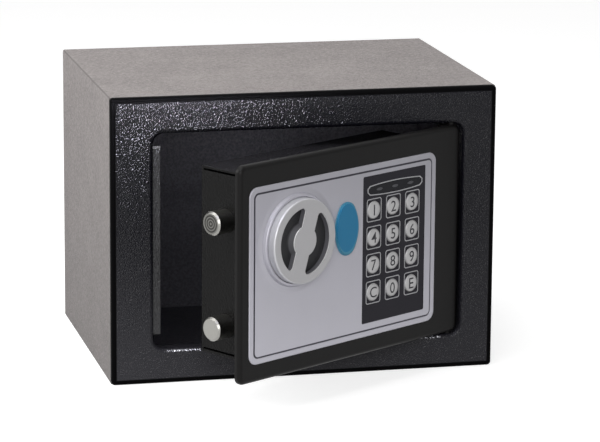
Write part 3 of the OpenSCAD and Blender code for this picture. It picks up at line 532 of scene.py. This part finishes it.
def key_finish(name, node):
    """Silver lacquered key cap, slightly domed, with painted shade darkening its rim."""
    front = door_point(*door_middle(node))
    finish = Finish(name, Specular_IOR_Level=0.5)
    flake = finish.noise(0.2 * MM, 2.0)
    radius = finish.distance(finish.along(ACROSS, front), finish.along(UP, front))
    rim = radius.step(4.3 * MM, 5.2 * MM)
    fall = radius.step(2.8 * MM, 5.0 * MM)
    finish.bumpy(flake * 0.03 - fall * fall, 0.42 * MM, 0.4 * MM)
    # Painted shade: a darker ring around the cap's rim.
    return finish.feed(
        Base_Color=finish.mix(rim, KEY_SILVER, shaded(KEY_SILVER, 0.80)),
        Metallic=finish.range(rim, 0.35, 0.2),
        Roughness=finish.range(flake, 0.32, 0.44))


def cover_finish(node):
    """Blue gloss plastic whose thin rim is painted lighter, wider towards the hinge side
    and the bottom, as a painted highlight.
    """
    low, high = door_box(node)
    front = door_point(*door_middle(node))
    finish = Finish("blue_gloss", Specular_IOR_Level=0.22)
    across = finish.along(ACROSS, front) / ((high[0] - low[0]) / 2)
    up = finish.along(UP, front) / ((high[2] - low[2]) / 2)
    radius = finish.distance(across, up)
    # Painted highlight: the rim's lighter band leans towards the hinge side and the bottom.
    lean = (across - up) * 0.5
    rim = (radius + lean * 0.10).step(0.88, 0.91)
    cloud = finish.noise(5 * MM, 2.0)
    finish.bumpy(cloud, 0.05 * MM, 0.5 * MM)
    return finish.feed(
        Base_Color=finish.mix(rim, COVER_BLUE, COVER_BLUE_HIGHLIGHT),
        Roughness=finish.range(cloud, 0.26, 0.36))


def bolt_finish(name, node, turned):
    """Plated round bar. Its end face has the tool's rings where it was turned. Its nickel
    is painted darker as painted shade for the dark it reflects, the turned bar's end face
    most.
    """
    low, high = door_box(node)
    finish = Finish(name, Metallic=1.0)
    tip = door_point(low[0], (low[1] + high[1]) / 2, (low[2] + high[2]) / 2)
    radius = finish.distance(finish.along(DEEP, tip), finish.along(UP, tip))
    end = finish.along(ACROSS, tip).step(0.8 * MM, 0.4 * MM)
    pitch = 1.65 * MM if turned else 0.6 * MM
    wave = (radius * (2 * math.pi / pitch)).math("SINE")
    rings = wave * end * radius.step(6.0 * MM, 5.4 * MM)
    scuff = finish.noise(0.5 * MM, 3.0, 0.6)
    # Painted shade: the nickel is painted darker, for the dark housing and opening the bar
    # reflects.
    dark = shaded(NICKEL, 0.030 if turned else 0.37)
    face = radius.step(6.1 * MM, 5.5 * MM) * end
    ring_tone = finish.mix((wave * 0.5 + 0.5) * (0.19 if turned else 0.15), dark, NICKEL)
    tone = finish.mix(face, shaded(NICKEL, 0.40), ring_tone)
    finish.bumpy(rings * (0.5 if turned else 0.1) + scuff * 0.2, 0.05 * MM, 0.3 * MM)
    return finish.feed(
        Base_Color=tone,
        Roughness=finish.range(scuff, 0.22, 0.36) + face * 0.12)


def banded(name, colours, edges, axis, origin, roughness):
    """Bands along an axis, as on a battery: its jacket's two colours and its cap."""
    finish = Finish(name, Specular_IOR_Level=0.5)
    place = finish.along(axis, origin)
    cloud = finish.noise(4 * MM, 2.0)
    tone = finish.mix(cloud, shaded(colours[0], 0.9), colours[0])
    for edge, colour in zip(edges, colours[1:]):
        tone = finish.mix(place.step(edge, edge + 0.1 * MM), tone, colour)
    finish.bumpy(cloud, 0.02 * MM, 0.3 * MM)
    return finish.feed(Base_Color=tone,
                       Roughness=finish.range(cloud, roughness - 0.05, roughness + 0.05))


def wound_copper(name, node):
    """Enamelled copper wire wound on the solenoid: fine turns across its axis."""
    finish = Finish(name, Metallic=0.9)
    deep = finish.along(DEEP, door_point(deep=door_box(node)[0][1]))
    turns = (deep * (2 * math.pi / (0.35 * MM))).math("SINE")
    tone = finish.noise(2 * MM, 2.0)
    finish.bumpy(turns, 0.06 * MM)
    return finish.feed(
        Base_Color=finish.mix(tone, COPPER_DARK, COPPER),
        Roughness=finish.range(tone, 0.30, 0.42))


def board_green(name):
    """Lacquered board with paler copper tracks under the lacquer."""
    finish = Finish(name, Specular_IOR_Level=0.5)
    grid = finish.add("ShaderNodeVectorMath", {"operation": "SNAP"},
                      {0: finish.place, 1: (1.1 * MM, 1.1 * MM, 2.2 * MM)})
    tracks = finish.noise(3 * MM, 1.0, 0.5, grid.socket).step(0.52, 0.54)
    finish.bumpy(tracks, 0.03 * MM, 0.2 * MM)
    return finish.feed(
        Base_Color=finish.mix(tracks, BOARD_GREEN, BOARD_TRACK),
        Roughness=finish.range(tracks, 0.30, 0.24))


def painted_light_top(finish, node, band, colour):
    """Painted light over a node's top: another colour, fading in over a band measured
    from its top.
    """
    top_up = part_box(node)[1][2]
    mask = finish.along(UP, top_up * UP).step(*band)
    finish.feed(Base_Color=finish.mix(mask, finish.fed("Base Color"), colour))


def dress(finish, *nodes):
    """Gives CAD nodes this finish."""
    for node in nodes:
        data = frame["nodes"][node].data
        data.materials.clear()
        data.materials.append(finish.material)


case_low, case_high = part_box("case_shell")
back_low, back_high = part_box("back_panel")
sheet = back_high[1] - back_low[1]
case_paint = case_finish("case_paint", case_high[0] - sheet, case_low[2] + sheet,
                         case_high[2] - sheet, back_low[1])
# Partly painted light: the strike plate, and with it the hinge lugs, is painted a paler
# grey than the frame's black, for the light it catches.
strike_paint = grain_paint("strike_paint", STRIKE_GREY, STRIKE_GREY_DARK, 0.9 * MM,
                           0.30 * MM, 0.34, 0.30)
door_paint = smooth_paint("door_satin_paint", DOOR_BLACK, 0.38, 0.12, 0.35 * MM,
                          0.02 * MM, 0.3 * MM)
housing_paint = grain_paint("housing_paint", HOUSING_BLACK,
                            shaded(HOUSING_BLACK, 0.8), 0.9 * MM, 0.24 * MM,
                            0.26, 0.08, 0.4 * MM)
# Painted highlight on the strike plate's top end, and painted light over the lock housing's
# top.
painted_light_top(strike_paint, "strike_plate", (-1.6 * MM, -1.0 * MM), STRIKE_TIP_HIGHLIGHT)
painted_light_top(housing_paint, "lock_housing", (-0.5 * MM, -0.2 * MM), HOUSING_TOP_LIGHT)
zinc_deep = drawn_metal("zinc_along_depth", ZINC, DEEP, 0.34)
zinc_up = drawn_metal("zinc_along_height", ZINC, UP, 0.34)
black_plastic = plastic("black_plastic", (0.012, 0.012, 0.013), 0.48)

dress(case_paint, "case_shell", "back_panel")
dress(frame_finish("frame_leather_paint", "front_frame"), "front_frame")
dress(strike_paint, "strike_plate", "hinge_lug_upper", "hinge_lug_lower")
dress(door_paint, "door_plate", "hinge_block_upper", "hinge_block_lower", "hinge_pins")
dress(housing_paint, "lock_housing", "rear_cover")
dress(panel_finish("front_panel"), "front_panel", "knob_ring")
dress(knob_finish("knob"), "knob")
dress(cover_finish("key_cover"), "key_cover")
dress(plastic("keypad_charcoal", KEYPAD_CHARCOAL, 0.42, 0.4 * MM, 0.01 * MM,
              specular=0.12), "keypad_panel")
dress(plastic("smoked_window", (0.008, 0.008, 0.012), 0.20, 2 * MM, 0.004 * MM,
              specular=0.12), "lamp_window")
dress(plastic("lamp_lens", (0.10, 0.10, 0.11), 0.25), "signal_lamps")
dress(plastic("dome_rubber", (0.50, 0.49, 0.45), 0.60, 0.6 * MM, 0.03 * MM), "dome_sheet")
dress(board_green("board_lacquer"), "circuit_board")
dress(plastic("bush_nylon", (0.66, 0.65, 0.60), 0.45), "knob_bush")
dress(zinc_deep, "rear_cover_screws", "board_screws", "carriage_studs", "lock_nut",
      "knob_cam", "solenoid_plunger", "plunger_spring")
dress(zinc_up, "bolt_carriage", "solenoid_frame", "battery_contacts")
dress(wound_copper("coil_wire", "solenoid_coil"), "solenoid_coil")
dress(drawn_metal("lock_nickel", NICKEL, DEEP, 0.28), "lock_barrel")
dress(drawn_metal("lock_brass", BRASS, DEEP, 0.26), "lock_core")
dress(bolt_finish("bolt_turned", "bolt_upper", True), "bolt_upper")
dress(bolt_finish("bolt_plain", "bolt_lower", False), "bolt_lower")
dress(black_plastic, "battery_tray", "battery_cover", "reset_switch")
dress(plastic("button_red", (0.45, 0.015, 0.012), 0.30), "reset_button")
for name in KEY_NAMES:
    dress(key_finish(f"key_lacquer_{name}", f"key_{name}"), f"key_{name}")

cells_low, cells_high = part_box("battery_cells")
cells_tall = cells_high[2] - cells_low[2]
dress(banded("cell_jacket", CELL_COLOURS, (0.30 * cells_tall, 0.975 * cells_tall), UP,
             cells_low[2] * UP, 0.30), "battery_cells")

# Printed marks


def round_rect_outline(half_w, half_h, corner, steps=6):
    """Points of a rectangle with round corners, anticlockwise: quarter circles of radius
    corner about the four inner corners, joined by straight sides."""
    turn = np.linspace(0, math.pi / 2, steps + 1)
    quarters = [turn + k * math.pi / 2 for k in range(4)]
    signs = ((1, 1), (-1, 1), (-1, -1), (1, -1))
    return np.concatenate([
        np.stack([sx * (half_w - corner) + corner * np.cos(q),
                  sy * (half_h - corner) + corner * np.sin(q)], axis=1)
        for q, (sx, sy) in zip(quarters, signs)])


def lens_outline(half_w, half_h, end_h, corner, steps=24):
    """Points of a lens with straight ends, anticlockwise: height falls from half_h at the
    middle to end_h / 2 at the ends as a parabola, and the ends' corners are eased."""
    across = np.linspace(half_w, -half_w, steps + 1)
    rise = end_h / 2 + (half_h - end_h / 2) * (1 - (across / half_w) ** 2)
    ease = np.clip((half_w - np.abs(across)) / corner, 0, 1)
    rise = rise - corner * (1 - np.sqrt(1 - (1 - ease) ** 2))
    top = np.stack([across, rise], axis=1)
    return np.concatenate([top, -top])


def printed_band(outer, inner, middle, thickness):
    """Rows of points and faces of a flat printed line between two outlines: a closed strip
    of four-sided faces over its front, its two edges and its back. The outlines are
    (across, up) about the middle."""
    count = len(outer)
    flat = np.stack([outer, inner, outer, inner])
    deep = np.array([-thickness, -thickness, 0.0, 0.0])[:, None]
    points = from_door(middle[0] + flat[..., 0], middle[1] + deep, middle[2] + flat[..., 1])
    here = np.arange(count)
    after = (here + 1) % count
    strips = []
    for a, b in ((0, 1), (1, 3), (3, 2), (2, 0)):
        strips.append(np.stack([a * count + here, a * count + after,
                                b * count + after, b * count + here], axis=1))
    return points.reshape(-1, 3), np.concatenate(strips).tolist()


def printed_patch(outline, middle, thickness):
    """Rows of points and faces of a flat printed patch: its outline filled as a fan about
    the middle, with an edge."""
    count = len(outline)
    here = np.arange(count)
    after = (here + 1) % count
    front = from_door(middle[0] + outline[:, 0], middle[1] - thickness,
                      middle[2] + outline[:, 1])
    back = from_door(middle[0] + outline[:, 0], middle[1], middle[2] + outline[:, 1])
    hub = from_door(middle[0], middle[1] - thickness, middle[2])[None, :]
    fan = np.stack([here, after, np.full(count, 2 * count)], axis=1)
    rim = np.stack([here, here + count, after + count, after], axis=1)
    return np.concatenate([front, back, hub]), fan.tolist() + rim.tolist()


def printed_piece(name, parts, finish, body):
    """One piece from several (points, faces), on its body."""
    points, faces, start = [], [], 0
    for part_points, part_faces in parts:
        points += part_points.tolist()
        faces += [[corner + start for corner in face] for face in part_faces]
        start += len(part_points)
    mesh = bpy.data.meshes.new(name)
    mesh.from_pydata(points, [], faces)
    mesh.update()
    mesh.materials.append(finish.material)
    piece = bpy.data.objects.new(name, mesh)
    bpy.context.scene.collection.objects.link(piece)
    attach(piece, body)


print_silver = plastic("print_silver", PRINT_SILVER, 0.45, 0.3 * MM, 0.004 * MM, 0.05 * MM)
print_faint = plastic("print_faint", PRINT_FAINT, 0.40, 0.3 * MM, 0.004 * MM, 0.05 * MM)
print_dark = plastic("print_dark", PRINT_DARK, 0.45, 0.3 * MM, 0.004 * MM, 0.05 * MM)

KEY_HALF = (6.1 * MM, 6.8 * MM)
KEY_SQUARE_SHIFT = 0.4 * MM
KEY_LINE = 0.56 * MM
KEY_CORNER = 1.6 * MM
PRINT_THICK = 0.06 * MM
WINDOW_PROUD = 0.2 * MM
LAMP_STEP = 13.0 * MM
DIGIT_HEIGHT = 6.3 * MM
DIGIT_WEIGHT = 0.002

pad_front = door_middle("keypad_panel")[1]
outlines = []
for name in KEY_NAMES:
    spot = door_middle(f"key_{name}")
    spot[:2] = spot[0] + KEY_SQUARE_SHIFT, pad_front
    outer = round_rect_outline(*KEY_HALF, KEY_CORNER)
    inner = round_rect_outline(KEY_HALF[0] - KEY_LINE, KEY_HALF[1] - KEY_LINE,
                               KEY_CORNER - KEY_LINE)
    outlines.append(printed_band(outer, inner, spot, PRINT_THICK))

window_low, window_high = door_box("lamp_window")
window = door_middle("lamp_window")
window_half = (window_high - window_low) / 2
window[1] = pad_front
outer = lens_outline(window_half[0] + 0.5 * MM, window_half[2] + 0.4 * MM,
                     end_h=5.2 * MM, corner=1.4 * MM)
inner = lens_outline(window_half[0] - 0.05 * MM, window_half[2] - 0.15 * MM,
                     end_h=4.2 * MM, corner=1.2 * MM)
outlines.append(printed_band(outer, inner, window, PRINT_THICK + WINDOW_PROUD))
printed_piece("keypad_outlines", outlines, print_silver, "door")

eye = lens_outline(half_w=2.6 * MM, half_h=0.8 * MM, end_h=0.5 * MM, corner=0.4 * MM,
                   steps=12)
eyes = []
for step in (-1, 0, 1):
    spot = door_middle("lamp_window")
    spot[0] += step * LAMP_STEP
    eyes.append(printed_patch(eye, spot, PRINT_THICK))
printed_piece("lamp_eyes", eyes, print_faint, "door")


def key_mark(name):
    """The key's character, cut from the built-in font, lying on the key's front."""
    spot = door_middle(f"key_{name}")
    curve = bpy.data.curves.new(f"key_mark_{name}", "FONT")
    curve.body = name.upper()
    curve.align_x = "CENTER"
    curve.size = 1.0
    curve.offset = DIGIT_WEIGHT
    curve.resolution_u = 6
    source = bpy.data.objects.new("character", curve)
    bpy.context.scene.collection.objects.link(source)
    mesh = bpy.data.meshes.new_from_object(source.evaluated_get(
        bpy.context.evaluated_depsgraph_get()))
    bpy.data.objects.remove(source)
    flat = np.empty(len(mesh.vertices) * 3, np.float32)
    mesh.vertices.foreach_get("co", flat)
    flat = flat.reshape(-1, 3)[:, :2].astype(float)
    flat -= (flat.min(axis=0) + flat.max(axis=0)) / 2
    flat *= DIGIT_HEIGHT / (flat[:, 1].max() - flat[:, 1].min())
    placed = from_door(spot[0] + flat[:, 0], spot[1] - PRINT_THICK, spot[2] + flat[:, 1])
    mesh.vertices.foreach_set("co", placed.astype(np.float32).ravel())
    mesh.name = f"key_mark_{name}"
    mesh.materials.clear()
    mesh.materials.append(print_dark.material)
    mesh.update()
    piece = bpy.data.objects.new(f"key_mark_{name}", mesh)
    bpy.context.scene.collection.objects.link(piece)
    thick = piece.modifiers.new("ink", "SOLIDIFY")
    thick.thickness = PRINT_THICK
    thick.offset = -1.0
    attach(piece, f"key_{name}")


for name in KEY_NAMES:
    key_mark(name)

# Floor, light and camera


def aim(position, target):
    """Turn that points an object's own -Z from a position to a target, upright."""
    return (Vector(target) - Vector(position)).to_track_quat("-Z", "Y").to_euler()


def area_lamp(name, position, target, width, height, power, spread=180.0):
    """A rectangular soft lamp whose light spreads over a cone of that many degrees."""
    data = bpy.data.lights.new(name, "AREA")
    data.shape = "RECTANGLE"
    data.size = width
    data.size_y = height
    data.energy = power
    data.spread = math.radians(spread)
    lamp = bpy.data.objects.new(name, data)
    lamp.location = position
    lamp.rotation_euler = aim(position, target)
    bpy.context.scene.collection.objects.link(lamp)
    return lamp


area_lamp("lamp_over", position=(-0.35, -0.15, 1.30), target=(0.0, 0.0, 0.1),
          width=1.0, height=1.0, power=9.9)
area_lamp("lamp_left", position=(-0.85, -0.05, 0.52), target=(-0.115, 0.0, 0.10),
          width=0.5, height=0.5, power=5.0)
area_lamp("lamp_front", position=(-0.42, -1.75, 0.60), target=(0.0, -0.05, 0.08),
          width=1.0, height=0.75, power=15.0)

# Two small lamps that only the gloss shows: the first picks out the grain of the frame's
# upper left and lights only the frame and the strike plate, the second the edges.

sheen = area_lamp("lamp_sheen", position=(-0.155, -0.29, 0.245),
                  target=(-0.066, -0.085, 0.170), width=0.11, height=0.05, power=0.25,
                  spread=32.0)
glint = area_lamp("lamp_glint", position=(-0.35, -0.80, 0.95), target=(-0.02, -0.1, 0.08),
                  width=0.24, height=0.14, power=3.0)
for lamp in (sheen, glint):
    lamp.visible_diffuse = False
    lamp.data.color = GLOSS_TINT
lit_by_sheen = bpy.data.collections.new("lit_by_sheen")
for node in ("front_frame", "strike_plate"):
    lit_by_sheen.objects.link(frame["nodes"][node])
sheen.light_linking.receiver_collection = lit_by_sheen

FLOOR_REACH = 10.0
FLOOR_ALBEDO = 0.60
FLOOR_BOUNCE = 0.05
FLOOR_LIFT = 0.72
ROOM_LIGHT = 0.32


def seen_ray(tree):
    """1 for rays from the camera, off gloss and through glass, and 0 for the rest."""
    path = tree.nodes.new("ShaderNodeLightPath")
    total = path.outputs["Is Camera Ray"]
    for kind in ("Is Glossy Ray", "Is Transmission Ray"):
        node = tree.nodes.new("ShaderNodeMath")
        node.operation = "MAXIMUM"
        tree.links.new(total, node.inputs[0])
        tree.links.new(path.outputs[kind], node.inputs[1])
        total = node.outputs[0]
    return total


def white_floor():
    """A matt floor under the safe, lifted to white where it is seen."""
    mesh = bpy.data.meshes.new("floor")
    side = np.array([[-1, -1], [1, -1], [1, 1], [-1, 1]]) * FLOOR_REACH
    mesh.from_pydata([(x, y, 0.0) for x, y in side.tolist()], [], [(0, 1, 2, 3)])
    material = bpy.data.materials.new("floor_white")
    material.use_nodes = True
    tree = material.node_tree
    tree.nodes.clear()
    output = tree.nodes.new("ShaderNodeOutputMaterial")
    diffuse = tree.nodes.new("ShaderNodeBsdfDiffuse")
    diffuse.inputs["Color"].default_value = (FLOOR_ALBEDO,) * 3 + (1.0,)
    bounce = tree.nodes.new("ShaderNodeBsdfDiffuse")
    bounce.inputs["Color"].default_value = (FLOOR_BOUNCE,) * 3 + (1.0,)
    glow = tree.nodes.new("ShaderNodeEmission")
    glow.inputs["Strength"].default_value = FLOOR_LIFT
    both = tree.nodes.new("ShaderNodeAddShader")
    mix = tree.nodes.new("ShaderNodeMixShader")
    link = tree.links.new
    link(diffuse.outputs[0], both.inputs[0])
    link(glow.outputs[0], both.inputs[1])
    link(seen_ray(tree), mix.inputs[0])
    link(bounce.outputs[0], mix.inputs[1])
    link(both.outputs[0], mix.inputs[2])
    link(mix.outputs[0], output.inputs["Surface"])
    mesh.materials.append(material)
    floor = bpy.data.objects.new("floor", mesh)
    bpy.context.scene.collection.objects.link(floor)


def white_room(strength):
    """Even light from all round, white where it is seen."""
    world = bpy.data.worlds.new("room")
    bpy.context.scene.world = world
    world.use_nodes = True
    tree = world.node_tree
    tree.nodes.clear()
    output = tree.nodes.new("ShaderNodeOutputWorld")
    backs = []
    for level in (strength, 1.0):
        back = tree.nodes.new("ShaderNodeBackground")
        back.inputs["Strength"].default_value = level
        backs.append(back)
    mix = tree.nodes.new("ShaderNodeMixShader")
    tree.links.new(seen_ray(tree), mix.inputs[0])
    tree.links.new(backs[0].outputs[0], mix.inputs[1])
    tree.links.new(backs[1].outputs[0], mix.inputs[2])
    tree.links.new(mix.outputs[0], output.inputs["Surface"])


white_floor()
white_room(ROOM_LIGHT)

IMAGE_W = 600
SENSOR = 36.0
CAMERA = np.array([-425.885, -1865.470, 508.682]) * MM
CAMERA_YAW = 0.23310
CAMERA_PITCH = 0.22300
CAMERA_ROLL = 0.00790
FOCAL_PIXELS = 3214.6


def camera():
    """The camera that took the photograph: place, yaw, pitch, roll and focal length."""
    cy, sy = math.cos(CAMERA_YAW), math.sin(CAMERA_YAW)
    cp, sp = math.cos(CAMERA_PITCH), math.sin(CAMERA_PITCH)
    forward = np.array([sy * cp, cy * cp, -sp])
    right = np.array([cy, -sy, 0.0])
    upward = np.cross(right, forward)
    cr, sr = math.cos(CAMERA_ROLL), math.sin(CAMERA_ROLL)
    right, upward = cr * right + sr * upward, cr * upward - sr * right
    data = bpy.data.cameras.new("camera")
    data.sensor_width = SENSOR
    data.lens = FOCAL_PIXELS / IMAGE_W * SENSOR
    data.clip_start = 0.05
    data.clip_end = 50.0
    view = bpy.data.objects.new("camera", data)
    turn = np.eye(4)
    turn[:3, 0], turn[:3, 1], turn[:3, 2], turn[:3, 3] = right, upward, -forward, CAMERA
    view.matrix_world = Matrix(turn.tolist())
    bpy.context.scene.collection.objects.link(view)
    bpy.context.scene.camera = view


camera()
bpy.context.scene.view_settings.view_transform = "Standard"
